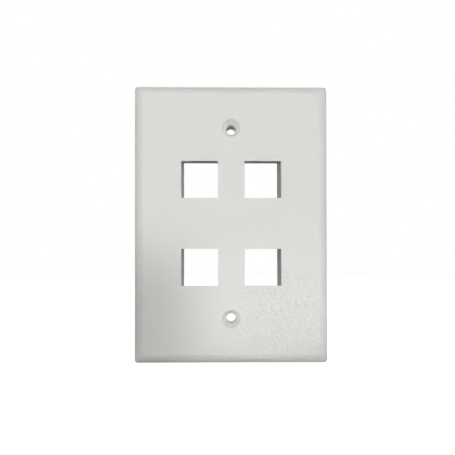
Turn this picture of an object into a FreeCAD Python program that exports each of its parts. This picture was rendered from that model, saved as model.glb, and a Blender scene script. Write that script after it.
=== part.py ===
"""Keystone faceplate: a single-gang wall plate with two rows of two keystone ports.

One injection moulding in white ABS. Sizes are in millimetres. The plate stands as it does on a
wall: +Z is up, the face looks towards -Y, and the rim seats on the wall plane, Y = 0. The origin
is the centre of the screw pattern on that plane. The port housings reach past it, into the box.
"""
import FreeCAD, Part
import os

import Sketcher
from FreeCAD import Vector

SIZES = [
    # The outside of the plate
    ("plate_width", 86.5, "outside width"),
    ("plate_height", 123.9, "outside height"),
    ("plate_depth", 6.35, "wall plane to face"),
    ("corner_round", 1.0, "radius of the four outside corners"),
    ("rim_upright", 1.3, "straight part of the edge, up from the wall plane"),
    ("border_inset", 4.85, "outside edge to the flat of the face"),
    ("border_round", 6.6, "radius of the border's crown"),
    ("border_blend", 1.5, "radius where the border meets the flat"),
    ("wall", 2.2, "wall thickness of the rim and the face"),
    ("draft", 1.0, "draft of ribs, bosses and housings, degrees"),
    # Screws
    ("screw_spacing", 83.34, "centre to centre, 3 9/32 inches"),
    ("screw_bore", 4.2, "through hole for a 6-32 screw"),
    ("sink_width", 8.0, "countersink diameter at the face"),
    ("sink_angle", 82.0, "countersink angle, degrees"),
    ("boss_width", 9.4, "diameter of a screw boss at the wall plane"),
    # Ports
    ("port_columns", 2, "ports side by side"),
    ("port_rows", 2, "ports one above another"),
    ("column_pitch", 27.6, "port centre to port centre, across"),
    ("row_pitch", 38.3, "port centre to port centre, down"),
    ("port_width", 16.0, "opening, across"),
    ("port_height", 16.1, "opening, up"),
    ("port_edge", 0.1, "radius round an opening at the face"),
    ("port_relief", 3.0, "slope of the lip and the sill, wider to the back, degrees"),
    # The housing that holds a jack, with its depths measured from the face
    ("housing_wall", 1.6, "wall thickness of a housing at its back"),
    ("housing_depth", 10.4, "face to the back of the housing"),
    ("housing_edge", 0.4, "bevel round the back of the housing"),
    ("catch_depth", 8.0, "face to the shoulder of both catches"),
    ("lip_depth", 3.8, "face to the back of the lip on the latch side"),
    ("sill_depth", 6.5, "face to the back of the sill on the hook side"),
    ("latch_pocket", 4.0, "height of the latch pocket above the opening"),
    ("latch_gap", 2.2, "opening up to the edge of the latch catch"),
    ("hook_pocket", 2.0, "depth of the hook pocket below the opening"),
    ("hook_gap", 0.6, "opening down to the edge of the hook catch"),
    ("lead_in", 0.8, "bevel on the back of both catches"),
    # Ribs
    ("rib_thickness", 1.2, "thickness of a stiffening rib at its free edge"),
    ("rib_setback", 1.2, "wall plane down to the ribs"),
]

CUT_MARGIN = 1.0        # how far a cut runs past the surface that it leaves
SAME = 1e-4             # two places closer than this are one

HALF_WIDTH = "Sizes.plate_width / 2"
HALF_HEIGHT = "Sizes.plate_height / 2"
SCREW_HEIGHT = "Sizes.screw_spacing / 2"
FIRST_COLUMN = "-(Sizes.port_columns - 1) / 2 * Sizes.column_pitch"
FIRST_ROW = "-(Sizes.port_rows - 1) / 2 * Sizes.row_pitch"
INTO_FACE = "Sizes.plate_depth - Sizes.wall / 2"    # from the wall plane into the face wall
INTO_RIM = "Sizes.wall / 2"                         # from the outside into the rim

DOC = FreeCAD.newDocument("KeystoneFaceplate")


def make_sheet():
    """Put the driving dimensions in a sheet, one row each, with an alias."""
    sheet = DOC.addObject("Spreadsheet::Sheet", "Sizes")
    for row, (alias, value, meaning) in enumerate(SIZES, start=1):
        sheet.set(f"A{row}", alias)
        sheet.set(f"B{row}", str(value))
        sheet.set(f"C{row}", meaning)
        sheet.setAlias(f"B{row}", alias)
    DOC.recompute()
    return sheet


SHEET = make_sheet()
BODY = DOC.addObject("PartDesign::Body", "faceplate")


def size(expression):
    """Work out an expression on the sheet's sizes."""
    return float(SHEET.evalExpression(expression))


# Sketches ---------------------------------------------------------------------------------------

def origin_feature(role):
    return next(item for item in BODY.Origin.OriginFeatures if item.Role == role)


def add_sketch(name, plane, lift=None):
    """Add a sketch on an origin plane, lifted along the plane's normal by an expression.

    XZ_Plane draws in X, Z and faces -Y. YZ_Plane draws in Y, Z. XY_Plane draws in X, Y.
    """
    sketch = BODY.newObject("Sketcher::SketchObject", name)
    sketch.AttachmentSupport = [(origin_feature(plane), "")]
    sketch.MapMode = "FlatFace"
    if lift:
        sketch.setExpression("AttachmentOffset.Base.z", lift)
    return sketch


def drive(sketch, kind, *references, value):
    """Add a dimension whose value is an expression on the sheet."""
    index = sketch.addConstraint(Sketcher.Constraint(kind, *references, size(value)))
    sketch.setExpression(f"Constraints[{index}]", value)


def pin(sketch, geometry, vertex, place):
    """Hold a vertex at a place given by two expressions."""
    for kind, value in zip(("DistanceX", "DistanceY"), place):
        drive(sketch, kind, -1, 1, geometry, vertex, value=value)


def point(place):
    return Vector(size(place[0]), size(place[1]), 0)


def add_lines(sketch, corners):
    """Draw joined lines through corners given by expressions, and hold each corner there."""
    places = [point(corner) for corner in corners]
    lines = [sketch.addGeometry(Part.LineSegment(a, b)) for a, b in zip(places, places[1:])]
    for before, after in zip(lines, lines[1:]):
        sketch.addConstraint(Sketcher.Constraint("Coincident", before, 2, after, 1))
    for line, corner in zip(lines, corners):
        pin(sketch, line, 1, corner)
    return lines


def add_outline(sketch, corners):
    """Draw a closed outline through corners given by expressions."""
    lines = add_lines(sketch, corners + corners[:1])
    sketch.addConstraint(Sketcher.Constraint("Coincident", lines[-1], 2, lines[0], 1))


def add_rectangle(sketch, left, bottom, right, top):
    add_outline(sketch, [(left, bottom), (right, bottom), (right, top), (left, top)])


def add_screw_circles(sketch, diameter):
    """Draw a circle at each screw: centred across the plate, half the spacing up and down."""
    for side, start in (("", 1), ("-", -1)):
        centre = Vector(0, start * size(SCREW_HEIGHT), 0)
        circle = sketch.addGeometry(Part.Circle(centre, Vector(0, 0, 1), size(diameter) / 2))
        sketch.addConstraint(Sketcher.Constraint("PointOnObject", circle, 3, -2))
        drive(sketch, "DistanceY", -1, 1, circle, 3, value=f"{side}{SCREW_HEIGHT}")
        drive(sketch, "Diameter", circle, value=diameter)


# Features ---------------------------------------------------------------------------------------

def add_pad(name, sketch, length, taper=None):
    """Raise a profile. The pads of an XZ sketch grow towards the face."""
    pad = BODY.newObject("PartDesign::Pad", name)
    pad.Profile = sketch
    pad.setExpression("Length", length)
    if taper:
        pad.setExpression("TaperAngle", taper)
    return pad


def add_pocket(name, sketch, length, taper=None):
    """Cut a profile from the wall side towards the face."""
    pocket = BODY.newObject("PartDesign::Pocket", name)
    pocket.Profile = sketch
    pocket.Reversed = True
    pocket.setExpression("Length", length)
    if taper:
        pocket.setExpression("TaperAngle", taper)
    return pocket


def set_spacing(pattern, axis, spacing, count):
    pattern.Direction = (origin_feature(axis), [""])
    pattern.Mode = "Spacing"
    pattern.setExpression("Offset", spacing)
    pattern.setExpression("Occurrences", count)


def edges_where(feature, test):
    """Name the edges of a feature that pass a test of the edge and its box."""
    return [f"Edge{number}" for number, edge in enumerate(feature.Shape.Edges, start=1)
            if test(edge, edge.BoundBox)]


def straight_edges(feature, depth, lengths):
    """Name the straight edges in the plane at a depth, if they have one of the lengths."""
    plane = size(depth)
    spans = [size(length) for length in lengths]

    def chosen(edge, box):
        in_plane = max(abs(box.YMin - plane), abs(box.YMax - plane)) < SAME
        return in_plane and any(abs(edge.Length - span) < SAME for span in spans)

    return edges_where(feature, chosen)


# The moulding -----------------------------------------------------------------------------------

def add_blank():
    """A flat block of the plate's outline, with its four corners rounded."""
    outline = add_sketch("plate_outline", "XZ_Plane")
    add_rectangle(outline, f"-{HALF_WIDTH}", f"-{HALF_HEIGHT}", HALF_WIDTH, HALF_HEIGHT)
    blank = add_pad("blank", outline, "Sizes.plate_depth")
    DOC.recompute()
    corners = BODY.newObject("PartDesign::Fillet", "outside_corners")
    corners.Base = (blank, edges_where(blank, lambda edge, box: box.YLength > SAME))
    corners.setExpression("Radius", "Sizes.corner_round")


def add_hollow():
    """Hollow the plate from the wall side: upright inside the rim, then along the border."""
    across = f"({HALF_WIDTH} - Sizes.wall)"
    up = f"({HALF_HEIGHT} - Sizes.wall)"
    slope = "-atan(Sizes.border_inset / (Sizes.plate_depth - Sizes.rim_upright))"

    mouth = add_sketch("hollow_mouth_section", "XZ_Plane")
    add_rectangle(mouth, f"-{across}", f"-{up}", across, up)
    add_pocket("hollow_mouth", mouth, "Sizes.rim_upright")

    hollow = add_sketch("hollow_section", "XZ_Plane", "Sizes.rim_upright")
    add_rectangle(hollow, f"-{across}", f"-{up}", across, up)
    add_pocket("hollow", hollow, "Sizes.plate_depth - Sizes.wall - Sizes.rim_upright", slope)


def add_ribs():
    """A rib down the middle and one across each row of ports, set back from the wall plane."""
    half_rib = "Sizes.rib_thickness / 2"
    length = f"{INTO_FACE} - Sizes.rib_setback"

    end = f"({HALF_HEIGHT} - {INTO_RIM})"
    spine = add_sketch("spine_section", "XZ_Plane", "Sizes.rib_setback")
    add_rectangle(spine, f"-{half_rib}", f"-{end}", half_rib, end)
    add_pad("spine", spine, length, "Sizes.draft")

    end = f"({HALF_WIDTH} - {INTO_RIM})"
    cross = add_sketch("row_rib_section", "XZ_Plane", "Sizes.rib_setback")
    add_rectangle(cross, f"-{end}", f"{FIRST_ROW} - {half_rib}", end, f"{FIRST_ROW} + {half_rib}")
    rib = add_pad("row_rib", cross, length, "Sizes.draft")
    ribs = BODY.newObject("PartDesign::LinearPattern", "row_ribs")
    ribs.Originals = [rib]
    set_spacing(ribs, "Z_Axis", "Sizes.row_pitch", "Sizes.port_rows")
    BODY.Tip = ribs


def add_bosses():
    """A round boss behind each screw hole, flush with the wall plane."""
    section = add_sketch("boss_section", "XZ_Plane")
    add_screw_circles(section, "Sizes.boss_width")
    add_pad("bosses", section, INTO_FACE, "Sizes.draft")


def jack_way_corners():
    """The side view of the way through the first housing, from the sill round to the lip.

    A jack's hook sits in the pocket behind the sill and turns against the lower catch. Its
    latch bends under the upper catch and springs up in the pocket behind the lip. The sill and
    the lip slope apart towards the back, which gives the jack room to swing in.
    """
    def depth(name):
        return f"-Sizes.plate_depth + Sizes.{name}"

    def relief(name):
        return f"Sizes.{name} * tan(Sizes.port_relief)"

    face = "-Sizes.plate_depth"
    before = f"{face} - {CUT_MARGIN}"
    behind = f"{depth('housing_depth')} + {CUT_MARGIN}"
    bevel = f"{depth('housing_depth')} - Sizes.lead_in"
    sill = f"{FIRST_ROW} - Sizes.port_height / 2"
    lip = f"{FIRST_ROW} + Sizes.port_height / 2"
    hook_floor = f"{sill} - Sizes.hook_pocket"
    latch_roof = f"{lip} + Sizes.latch_pocket"
    hook_catch = f"{sill} - Sizes.hook_gap"
    latch_catch = f"{lip} + Sizes.latch_gap"
    return [
        (before, sill),
        (face, sill),
        (depth("sill_depth"), f"{sill} - {relief('sill_depth')}"),
        (depth("sill_depth"), hook_floor),
        (depth("catch_depth"), hook_floor),
        (depth("catch_depth"), hook_catch),
        (bevel, hook_catch),
        (depth("housing_depth"), f"{hook_catch} - Sizes.lead_in"),
        (behind, f"{hook_catch} - Sizes.lead_in"),
        (behind, f"{latch_catch} + Sizes.lead_in"),
        (depth("housing_depth"), f"{latch_catch} + Sizes.lead_in"),
        (bevel, latch_catch),
        (depth("catch_depth"), latch_catch),
        (depth("catch_depth"), latch_roof),
        (depth("lip_depth"), latch_roof),
        (depth("lip_depth"), f"{lip} + {relief('lip_depth')}"),
        (face, lip),
        (before, lip),
    ]


def add_housings():
    """The first housing and the way through it for a jack, repeated over rows and columns."""
    half_block = "(Sizes.port_width / 2 + Sizes.housing_wall)"
    reach = "(Sizes.port_height / 2 + Sizes.housing_wall)"
    block = add_sketch("housing_section", "XZ_Plane", "Sizes.plate_depth - Sizes.housing_depth")
    add_rectangle(block,
                  f"{FIRST_COLUMN} - {half_block}", f"{FIRST_ROW} - {reach} - Sizes.hook_pocket",
                  f"{FIRST_COLUMN} + {half_block}", f"{FIRST_ROW} + {reach} + Sizes.latch_pocket")
    housing = add_pad("housing", block, "Sizes.housing_depth - Sizes.wall / 2", "Sizes.draft")

    profile = add_sketch("jack_way_profile", "YZ_Plane", FIRST_COLUMN)
    add_outline(profile, jack_way_corners())
    way = BODY.newObject("PartDesign::Pocket", "jack_way")
    way.Profile = profile
    way.SideType = "Symmetric"
    way.setExpression("Length", "Sizes.port_width")

    grid = BODY.newObject("PartDesign::MultiTransform", "port_grid")
    grid.Originals = [housing, way]
    columns = BODY.newObject("PartDesign::LinearPattern", "port_columns")
    rows = BODY.newObject("PartDesign::LinearPattern", "port_rows")
    grid.Transformations = [columns, rows]
    set_spacing(columns, "X_Axis", "Sizes.column_pitch", "Sizes.port_columns")
    set_spacing(rows, "Z_Axis", "Sizes.row_pitch", "Sizes.port_rows")
    BODY.Tip = grid


# The border -------------------------------------------------------------------------------------

def border_arcs(edge, flat, inward):
    """Work out the border's two arcs, each as its centre, radius and two ends.

    The blend starts level with the flat, so its centre lies straight behind that end. The crown
    holds the blend from inside and ends at the edge, which places its centre.
    """
    crown, blend = size("Sizes.border_round"), size("Sizes.border_blend")
    blend_centre = flat + inward * blend
    span = blend_centre - edge
    along = (crown ** 2 - (crown - blend) ** 2 + span.Length ** 2) / (2 * span.Length)
    aside = Vector(-span.y, span.x, 0).normalize()
    if aside.dot(inward) < 0:
        aside = -aside
    crown_centre = (edge + Vector(span).normalize() * along
                    + aside * (crown ** 2 - along ** 2) ** 0.5)
    meeting = crown_centre + (blend_centre - crown_centre).normalize() * crown
    return (crown_centre, crown, edge, meeting), (blend_centre, blend, meeting, flat)


def add_arc(sketch, centre, radius, first, last):
    """Draw an arc, and say which of its ends is the first and which the last."""
    middle = centre + ((first + last) * 0.5 - centre).normalize() * radius
    arc = sketch.addGeometry(Part.Arc(first, middle, last))
    begins = sketch.getPoint(arc, 1).distanceToPoint(first) < SAME
    return (arc, 1, 2) if begins else (arc, 2, 1)


def draw_border(sketch, half_size, depth_across):
    """Draw what the border leaves out: a crown from the upright edge, blended into the flat.

    The section lies at half_size from the middle of the plate. Depth runs up the sketch, or
    across it where depth_across is set.
    """
    def place(outward, depth):
        return (depth, outward) if depth_across else (outward, depth)

    inner, outer = f"{half_size} - Sizes.border_inset", f"{half_size} + {CUT_MARGIN}"
    above = f"-Sizes.plate_depth - {CUT_MARGIN}"
    flat, edge = place(inner, "-Sizes.plate_depth"), place(half_size, "-Sizes.rim_upright")
    lines = add_lines(sketch, [flat, place(inner, above), place(outer, above),
                               place(outer, "-Sizes.rim_upright"), edge])
    pin(sketch, lines[-1], 2, edge)

    inward = Vector(1, 0, 0) if depth_across else Vector(0, 1, 0)
    crown_shape, blend_shape = border_arcs(point(edge), point(flat), inward)
    crown, crown_edge, crown_meeting = add_arc(sketch, *crown_shape)
    blend, blend_meeting, blend_flat = add_arc(sketch, *blend_shape)
    level = "Horizontal" if depth_across else "Vertical"
    for constraint in (("Coincident", lines[-1], 2, crown, crown_edge),
                       ("Tangent", crown, crown_meeting, blend, blend_meeting),
                       ("Coincident", blend, blend_flat, lines[0], 1),
                       (level, blend, 3, blend, blend_flat)):
        sketch.addConstraint(Sketcher.Constraint(*constraint))
    drive(sketch, "Radius", crown, value="Sizes.border_round")
    drive(sketch, "Radius", blend, value="Sizes.border_blend")


def add_border():
    """Cut the crowned border along the sides, then along the ends, so that it mitres."""
    for name, plane, half_size, depth_across, mirror_plane in (
            ("side", "XY_Plane", HALF_WIDTH, False, "YZ_Plane"),
            ("end", "YZ_Plane", HALF_HEIGHT, True, "XY_Plane")):
        section = add_sketch(f"{name}_border_section", plane)
        draw_border(section, half_size, depth_across)
        border = BODY.newObject("PartDesign::Pocket", f"{name}_border")
        border.Profile = section
        border.SideType = "Symmetric"
        border.Type = "ThroughAll"
        mirror = BODY.newObject("PartDesign::Mirrored", f"opposite_{name}_border")
        mirror.Originals = [border]
        mirror.MirrorPlane = (origin_feature(mirror_plane), [""])
        BODY.Tip = mirror


# Screw holes and edges --------------------------------------------------------------------------

def add_screw_holes():
    """Bore and countersink both screw holes from the face."""
    places = add_sketch("screw_places", "XZ_Plane", "Sizes.plate_depth")
    add_screw_circles(places, "Sizes.screw_bore")
    DOC.recompute()
    holes = BODY.newObject("PartDesign::Hole", "screw_holes")
    holes.Profile = places
    holes.DepthType = "ThroughAll"
    holes.setExpression("Diameter", "Sizes.screw_bore")
    holes.HoleCutType = "Countersink"
    holes.HoleCutCustomValues = True
    holes.setExpression("HoleCutDiameter", "Sizes.sink_width")
    holes.setExpression("HoleCutCountersinkAngle", "Sizes.sink_angle")
    return holes


def finish_edges(solid):
    """Round the openings at the face and bevel the housings at their back."""
    DOC.recompute()
    rounded = BODY.newObject("PartDesign::Fillet", "port_edges")
    rounded.Base = (solid, straight_edges(
        solid, "-Sizes.plate_depth", ["Sizes.port_width", "Sizes.port_height"]))
    rounded.setExpression("Radius", "Sizes.port_edge")
    DOC.recompute()
    bevelled = BODY.newObject("PartDesign::Chamfer", "housing_edges")
    bevelled.Base = (rounded, straight_edges(
        rounded, "Sizes.housing_depth - Sizes.plate_depth",
        ["Sizes.port_width + 2 * Sizes.housing_wall",
         "Sizes.port_height + Sizes.hook_pocket + Sizes.latch_pocket + 2 * Sizes.housing_wall"]))
    bevelled.setExpression("Size", "Sizes.housing_edge")


def check():
    """Stop if anything in the document failed, or if the moulding isn't one sound solid."""
    failed = [item.Name for item in DOC.Objects if {"Invalid", "Error"} & set(item.State)]
    if failed:
        raise RuntimeError(f"these features failed: {', '.join(failed)}")
    shape = BODY.Shape
    if shape.isNull() or not shape.isValid() or len(shape.Solids) != 1:
        raise RuntimeError("the faceplate isn't one sound solid")


def main():
    BODY.Label = "faceplate"
    add_blank()
    add_hollow()
    add_ribs()
    add_bosses()
    add_housings()
    add_border()
    finish_edges(add_screw_holes())
    DOC.recompute()
    check()
    os.makedirs("parts", exist_ok=True)
    BODY.Shape.exportStep(f"parts/{BODY.Label}.step")
    print(f"{BODY.Label}: {BODY.Shape.Volume / 1000:.2f} cm3, {len(BODY.Shape.Faces)} faces")


main()
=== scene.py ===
"""Keystone faceplate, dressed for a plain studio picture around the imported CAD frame.

Metres throughout. +Z is up, the face looks towards -Y and the wall plane is Y = 0.
"""
import math

import bmesh
import bpy
from mathutils import Matrix, Vector


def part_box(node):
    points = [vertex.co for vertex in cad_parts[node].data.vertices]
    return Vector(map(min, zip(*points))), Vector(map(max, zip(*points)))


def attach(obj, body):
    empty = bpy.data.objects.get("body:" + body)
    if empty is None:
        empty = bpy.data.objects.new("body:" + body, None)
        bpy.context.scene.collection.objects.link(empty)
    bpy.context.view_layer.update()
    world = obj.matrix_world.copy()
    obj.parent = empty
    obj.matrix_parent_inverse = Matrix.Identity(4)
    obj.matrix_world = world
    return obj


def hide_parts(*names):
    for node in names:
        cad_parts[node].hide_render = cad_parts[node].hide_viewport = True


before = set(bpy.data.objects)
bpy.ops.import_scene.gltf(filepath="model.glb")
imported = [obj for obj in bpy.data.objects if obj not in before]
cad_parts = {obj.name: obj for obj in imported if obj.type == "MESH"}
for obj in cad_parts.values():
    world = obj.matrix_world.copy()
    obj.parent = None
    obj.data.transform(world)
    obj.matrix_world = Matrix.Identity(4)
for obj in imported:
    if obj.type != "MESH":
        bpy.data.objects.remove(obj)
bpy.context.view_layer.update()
LOW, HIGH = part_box("faceplate")

MM = 0.001

# Camera: it stands close, a little left of the middle and below it, and looks straight at the face.
CAMERA_ASIDE = -3.84 * MM
CAMERA_HEIGHT = -18.2 * MM
CAMERA_AWAY = 135.0 * MM            # from the face
CAMERA_YAW = math.radians(0.45)
CAMERA_PITCH = math.radians(0.41)
CAMERA_ROLL = math.radians(0.06)
VIEW_WIDTH = 197.87 * MM            # what the view takes in at the face
SENSOR_WIDTH = 36.0
SHIFT_ACROSS = 0.0056
SHIFT_UP = 0.0779
CLIP_START = 1 * MM

# The moulding's upright edge and border, which the CAD solid has too
BORDER = 4.85 * MM                  # outside edge to the flat of the face
RIM_UPRIGHT = 1.3 * MM              # straight part of the edge
CAD_CORNER = 1.0 * MM               # outside corner radius of the CAD solid
CORNER_STEPS = 11                   # as many as the CAD solid's corner has
FLAT_NORMAL = -0.9999               # faces that look this straight out of the wall are flat

# The same border as it leaves the mould
CROWN = 6.7 * MM                    # radius of the border's crown
CROWN_STEPS = 14
CORNER = 1.5 * MM                   # outside corner radius
MITRE = 0.5 * MM                    # radius of the soft mitres
SMOOTH_BELOW = math.radians(35)     # angle from which an edge stays crisp
TINY = 0.002 * MM

# The moulded skin. Real spark-eroded grain is about 0.1 mm wide, too fine to show, so the mottling
# and the grain are drawn as coarse as they need to be.
MOTTLE = 1.3 * MM
MOTTLE_HEIGHT = 0.08 * MM
GRAIN = 0.6 * MM
GRAIN_HEIGHT = 0.03 * MM
DRIFT = 14 * MM                     # width of the resin's colour clouds
WARM_CAST = "#E2E1DC"
COOL_CAST = "#DFDFDD"
SHADING = 0.035                     # share by which the mottling darkens or lightens the colour
SATIN, DULL = 0.52, 0.68            # roughness at the mottling's low and high places
ABS_IOR = 1.53
GLOSS = 0.15                        # specular level, low because the grain is dull
# A patch at the lower right with stronger grain: its stronger colour mottling is painted shade and highlight
# of a raking light.
PATCH_CENTRE = (23.5 * MM, LOW.y, -40 * MM)
PATCH_CORE = 8 * MM
PATCH_EDGE = 34 * MM
PATCH_GAIN = 5.2                    # how much stronger the grain is in the patch, with its painted shade and highlight

# The Mix node has sockets of the same name for each kind of data: these are the colour ones.
MIX_FIRST, MIX_SECOND, MIX_RESULT = 6, 7, 2

# The floor. Its paint adds the last of the white, so that a shadow can take it away again.
FLOOR_HALF = 3.0
FLOOR_PAINT = "#949494"
FLOOR_WHITE = 0.985

# Softboxes: name, place, width, height, watts. All of them face the origin.
SOFTBOXES = (
    ("front_softbox", (0.0, -0.80, 0.0), 0.12, 0.12, 2.78),
    ("left_softbox", (-0.7, -0.3, 0.15), 0.5, 0.4, 1.12),
    ("right_softbox", (0.7, -0.3, 0.15), 0.5, 0.4, 1.42),
    ("back_softbox", (0.0, 0.83, 0.48), 0.2, 0.2, 2.0),
)

# Gridded panels: name, place across and up, width, height, watts for a square metre. They face
# straight at the plate. Neither reaches its lower left, which stays duller.
PANELS = (
    ("upper_panel", -0.020, 0.0855, 0.30, 0.20, 0.90),
    ("lower_panel", 0.082, -0.0765, 0.20, 0.124, 1.08),
)
PANEL_AIM_Y = -0.006
PANEL_AWAY = 0.25
PANEL_SPREAD = math.radians(11.5)
OPEN_SPREAD = math.radians(180)


def to_linear(code):
    """Turn an sRGB hex colour into the linear colour that a shader takes."""
    channels = [int(code[start:start + 2], 16) / 255 for start in (1, 3, 5)]
    return [c / 12.92 if c <= 0.04045 else ((c + 0.055) / 1.055) ** 2.4 for c in channels] + [1.0]


def add_node(tree, kind, settings=None, values=None, links=None):
    """Add a node: its own settings, its input values, and links into it from other nodes."""
    node = tree.nodes.new(kind)
    for name, value in (settings or {}).items():
        setattr(node, name, value)
    for socket, value in (values or {}).items():
        node.inputs[socket].default_value = value
    for socket, source in (links or {}).items():
        tree.links.new(source, node.inputs[socket])
    return node


def empty_tree(owner):
    """The emptied node tree of a material or a world."""
    owner.use_nodes = True
    owner.node_tree.nodes.clear()
    return owner.node_tree


# Material

def noise(tree, place, size):
    """A noise from 0 to 1 whose blobs are about as wide as the size."""
    return add_node(tree, "ShaderNodeTexNoise", values={"Scale": 1 / size, "Detail": 2.0, "Roughness": 0.5},
                    links={"Vector": place}).outputs["Fac"]


def grain_and_painted_light_patch(tree, place):
    """How much stronger the grain is at a place: most in one patch at the lower right, 1 elsewhere. In the
    colour this is painted shade and highlight, as a raking light would show on the grain there.
    """
    reach = add_node(tree, "ShaderNodeVectorMath", {"operation": "DISTANCE"}, {1: PATCH_CENTRE}, {0: place})
    return add_node(tree, "ShaderNodeMapRange", {"interpolation_type": "SMOOTHSTEP"},
                    {"From Min": PATCH_CORE, "From Max": PATCH_EDGE, "To Min": PATCH_GAIN, "To Max": 1.0},
                    {"Value": reach.outputs["Value"]}).outputs["Result"]


def amplified(tree, factor, gain):
    """Stretch a factor about its middle, 0.5."""
    away = add_node(tree, "ShaderNodeMath", {"operation": "SUBTRACT"}, {1: 0.5}, {0: factor}).outputs[0]
    return add_node(tree, "ShaderNodeMath", {"operation": "MULTIPLY_ADD"}, {2: 0.5},
                    {0: away, 1: gain}).outputs[0]


def resin_colour(tree, drift, mottle):
    """The resin's two casts, mixed by the drift, then darkened and lightened by the mottling."""
    casts = add_node(tree, "ShaderNodeMix", {"data_type": "RGBA"},
                     {MIX_FIRST: to_linear(WARM_CAST), MIX_SECOND: to_linear(COOL_CAST)},
                     {0: drift}).outputs[MIX_RESULT]
    shade = add_node(tree, "ShaderNodeMapRange", {"clamp": False},
                     {"To Min": 1 - SHADING, "To Max": 1 + SHADING}, {"Value": mottle}).outputs["Result"]
    return add_node(tree, "ShaderNodeVectorMath", {"operation": "SCALE"},
                    links={0: casts, "Scale": shade}).outputs[0]


def moulded_abs():
    """White ABS from a spark-eroded mould: a satin skin with fine grain and faint mottling.

    The grain softens every highlight. The mottling keeps the flat of the face from looking like
    paper, and is stronger in one patch at the lower right. There its stronger darkening and lightening
    of the colour is painted shade and highlight, standing in for a raking light on the grain. The slow
    drift in colour is the resin's own, as it flows and cools.
    """
    material = bpy.data.materials.new("white_moulded_abs")
    tree = empty_tree(material)
    place = add_node(tree, "ShaderNodeTexCoord").outputs["Object"]
    # The patch's gain stretches the mottling: in the colour, the extra contrast there is painted shade and
    # highlight.
    gain = grain_and_painted_light_patch(tree, place)
    mottle = amplified(tree, noise(tree, place, MOTTLE), gain)
    grain = amplified(tree, noise(tree, place, GRAIN), gain)
    roughness = add_node(tree, "ShaderNodeMapRange", values={"To Min": SATIN, "To Max": DULL},
                         links={"Value": mottle}).outputs["Result"]
    wide = add_node(tree, "ShaderNodeBump", values={"Distance": MOTTLE_HEIGHT}, links={"Height": mottle})
    fine = add_node(tree, "ShaderNodeBump", values={"Distance": GRAIN_HEIGHT},
                    links={"Height": grain, "Normal": wide.outputs["Normal"]})
    colour = resin_colour(tree, noise(tree, place, DRIFT), mottle)
    shader = add_node(tree, "ShaderNodeBsdfPrincipled", values={"IOR": ABS_IOR, "Specular IOR Level": GLOSS},
                      links={"Base Color": colour, "Roughness": roughness, "Normal": fine.outputs["Normal"]})
    add_node(tree, "ShaderNodeOutputMaterial", links={"Surface": shader.outputs["BSDF"]})
    return material


# Moulding

def inset_of(place):
    """How far inside the plate's outline a place is."""
    return min(HIGH.x - abs(place.x), HIGH.z - abs(place.z))


def is_skin(face):
    """Tell the plate's upright edge and crowned border from its other faces."""
    if face.normal.y < FLAT_NORMAL:
        return False
    rise = (-LOW.y - RIM_UPRIGHT) / BORDER
    for vert in face.verts:
        inset = inset_of(vert.co)
        on_border = inset < BORDER + TINY and -vert.co.y > RIM_UPRIGHT + inset * rise - TINY
        on_edge = inset < CAD_CORNER / 3    # a round corner dips inside by less than this
        if not (on_border or on_edge):
            return False
    return any(abs(vert.co.y) > TINY for vert in face.verts)


def ring(inset, depth, radius):
    """The plate's outline at an inset and a depth, with round corners."""
    points = []
    for quarter, (side, end) in enumerate(((1, 1), (-1, 1), (-1, -1), (1, -1))):
        middle = Vector((side * (HIGH.x - inset - radius), depth, end * (HIGH.z - inset - radius)))
        for step in range(CORNER_STEPS + 1):
            angle = math.pi / 2 * (quarter + step / CORNER_STEPS)
            points.append(middle + radius * Vector((math.cos(angle), 0, math.sin(angle))))
    return points


def border_section():
    """The border's section from the wall side to the flat: inset, depth and corner radius."""
    foot, top = Vector((0, -RIM_UPRIGHT)), Vector((BORDER, LOW.y))
    chord = top - foot
    away = Vector((-chord.y, chord.x)).normalized() * math.sqrt(CROWN ** 2 - (chord.length / 2) ** 2)
    centre = (foot + top) / 2 - away if away.x < 0 else (foot + top) / 2 + away
    first, last = foot - centre, top - centre
    turn = first.angle_signed(last)
    yield 0, 0, CORNER
    for step in range(CROWN_STEPS + 1):
        place = centre + Matrix.Rotation(-turn * step / CROWN_STEPS, 2) @ first
        yield place.x, place.y, max(MITRE, CORNER - place.x)
    yield BORDER, LOW.y, 0


def add_skin(shape):
    """Lay a clean skin of rings over the upright edge and the border."""
    rings = [[shape.verts.new(point) for point in ring(*level)] for level in border_section()]
    for lower, upper in zip(rings, rings[1:]):
        for index in range(len(lower)):
            shape.faces.new((lower[index - 1], lower[index], upper[index], upper[index - 1]))


def round_back_corners(shape):
    """Bring the CAD's outside corners at the wall plane to the skin's radius."""
    for vert in shape.verts:
        side, end = math.copysign(1, vert.co.x), math.copysign(1, vert.co.z)
        middle = Vector((side * (HIGH.x - CAD_CORNER), 0, end * (HIGH.z - CAD_CORNER)))
        arm = vert.co - middle
        if abs(arm.y) < TINY and arm.x * side > -TINY and arm.z * end > -TINY:
            corner = Vector((side * (HIGH.x - CORNER), 0, end * (HIGH.z - CORNER)))
            vert.co = corner + arm * (CORNER / CAD_CORNER)


def shade_crisply(piece):
    """Smooth the round faces and keep the edges, without the normals that came from the CAD."""
    stale = piece.data.attributes.get("custom_normal")
    if stale:
        piece.data.attributes.remove(stale)
    piece.data.shade_smooth()
    piece.data.set_sharp_from_angle(angle=SMOOTH_BELOW)
    level = piece.modifiers.new("flat_faces", "WEIGHTED_NORMAL")
    level.keep_sharp = True


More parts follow.
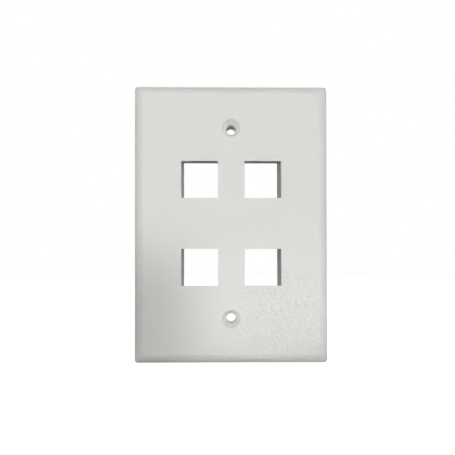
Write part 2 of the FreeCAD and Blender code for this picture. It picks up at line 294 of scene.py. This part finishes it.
def make_moulding():
    """Join the CAD solid's loose triangles, and give its border the mould's soft mitres."""
    piece = bpy.data.objects.new("faceplate_moulding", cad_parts["faceplate"].data.copy())
    bpy.context.scene.collection.objects.link(piece)
    shape = bmesh.new()
    shape.from_mesh(piece.data)
    bmesh.ops.remove_doubles(shape, verts=shape.verts, dist=TINY)
    bmesh.ops.delete(shape, geom=[face for face in shape.faces if is_skin(face)], context="FACES")
    round_back_corners(shape)
    add_skin(shape)
    bmesh.ops.remove_doubles(shape, verts=shape.verts, dist=TINY)
    bmesh.ops.recalc_face_normals(shape, faces=shape.faces)
    piece.data.clear_geometry()
    shape.to_mesh(piece.data)
    shape.free()
    shade_crisply(piece)
    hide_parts("faceplate")
    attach(piece, "root")
    return piece


# Studio

def camera_white(tree):
    """1 for what the camera sees, directly, in gloss or through glass, and 0 for the light."""
    path = add_node(tree, "ShaderNodeLightPath")
    seen = add_node(tree, "ShaderNodeMath", {"operation": "MAXIMUM"},
                    links={0: path.outputs["Is Camera Ray"], 1: path.outputs["Is Glossy Ray"]})
    return add_node(tree, "ShaderNodeMath", {"operation": "MAXIMUM"},
                    links={0: seen.outputs[0], 1: path.outputs["Is Transmission Ray"]}).outputs[0]


def floor_paint():
    """Matt paint that shows as white to the camera, less what a shadow takes from it."""
    material = bpy.data.materials.new("floor_paint")
    tree = empty_tree(material)
    paint = add_node(tree, "ShaderNodeBsdfDiffuse", values={"Color": to_linear(FLOOR_PAINT)})
    white = add_node(tree, "ShaderNodeMath", {"operation": "MULTIPLY"}, {1: FLOOR_WHITE},
                     {0: camera_white(tree)})
    glow = add_node(tree, "ShaderNodeEmission", links={"Strength": white.outputs[0]})
    both = add_node(tree, "ShaderNodeAddShader", links={0: paint.outputs[0], 1: glow.outputs[0]})
    add_node(tree, "ShaderNodeOutputMaterial", links={"Surface": both.outputs[0]})
    return material


def make_floor():
    mesh = bpy.data.meshes.new("studio_floor")
    corners = [(x * FLOOR_HALF, y * FLOOR_HALF, LOW.z) for x, y in ((-1, -1), (1, -1), (1, 1), (-1, 1))]
    mesh.from_pydata(corners, [], [(0, 1, 2, 3)])
    mesh.materials.append(floor_paint())
    floor = bpy.data.objects.new("studio_floor", mesh)
    bpy.context.scene.collection.objects.link(floor)


def make_world():
    """Plain white all round for the camera, which lights nothing."""
    world = bpy.data.worlds.new("studio_air")
    bpy.context.scene.world = world
    tree = empty_tree(world)
    air = add_node(tree, "ShaderNodeBackground", values={"Color": (1, 1, 1, 1)},
                   links={"Strength": camera_white(tree)})
    add_node(tree, "ShaderNodeOutputWorld", links={"Surface": air.outputs[0]})


def add_lamp(name, place, aim, size, watts, spread):
    """A rectangular lamp. A spread under 180 degrees is a honeycomb grid on its front."""
    data = bpy.data.lights.new(name, "AREA")
    data.shape = "RECTANGLE"
    data.size, data.size_y = size
    data.energy = watts
    data.spread = spread
    lamp = bpy.data.objects.new(name, data)
    lamp.location = place
    lamp.rotation_euler = (Vector(aim) - Vector(place)).to_track_quat("-Z", "Y").to_euler()
    lamp.visible_camera = False
    bpy.context.scene.collection.objects.link(lamp)


def make_lights():
    for name, place, width, height, watts in SOFTBOXES:
        add_lamp(name, place, (0, 0, 0), (width, height), watts, OPEN_SPREAD)
    for name, across, up, width, height, level in PANELS:
        place = (across, PANEL_AIM_Y - PANEL_AWAY, up)
        add_lamp(name, place, (across, PANEL_AIM_Y, up), (width, height), level * width * height,
                 PANEL_SPREAD)


def make_camera():
    data = bpy.data.cameras.new("camera")
    data.sensor_width = SENSOR_WIDTH
    data.lens = SENSOR_WIDTH * CAMERA_AWAY / VIEW_WIDTH
    data.shift_x, data.shift_y = SHIFT_ACROSS, SHIFT_UP
    data.clip_start = CLIP_START
    camera = bpy.data.objects.new("camera", data)
    camera.location = (CAMERA_ASIDE, LOW.y - CAMERA_AWAY, CAMERA_HEIGHT)
    camera.rotation_euler = (math.pi / 2 + CAMERA_PITCH, CAMERA_ROLL, -CAMERA_YAW)
    bpy.context.scene.collection.objects.link(camera)
    bpy.context.scene.camera = camera


plate = make_moulding()
plate.material_slots[0].material = moulded_abs()
make_floor()
make_world()
make_lights()
make_camera()
bpy.context.scene.view_settings.view_transform = "Standard"
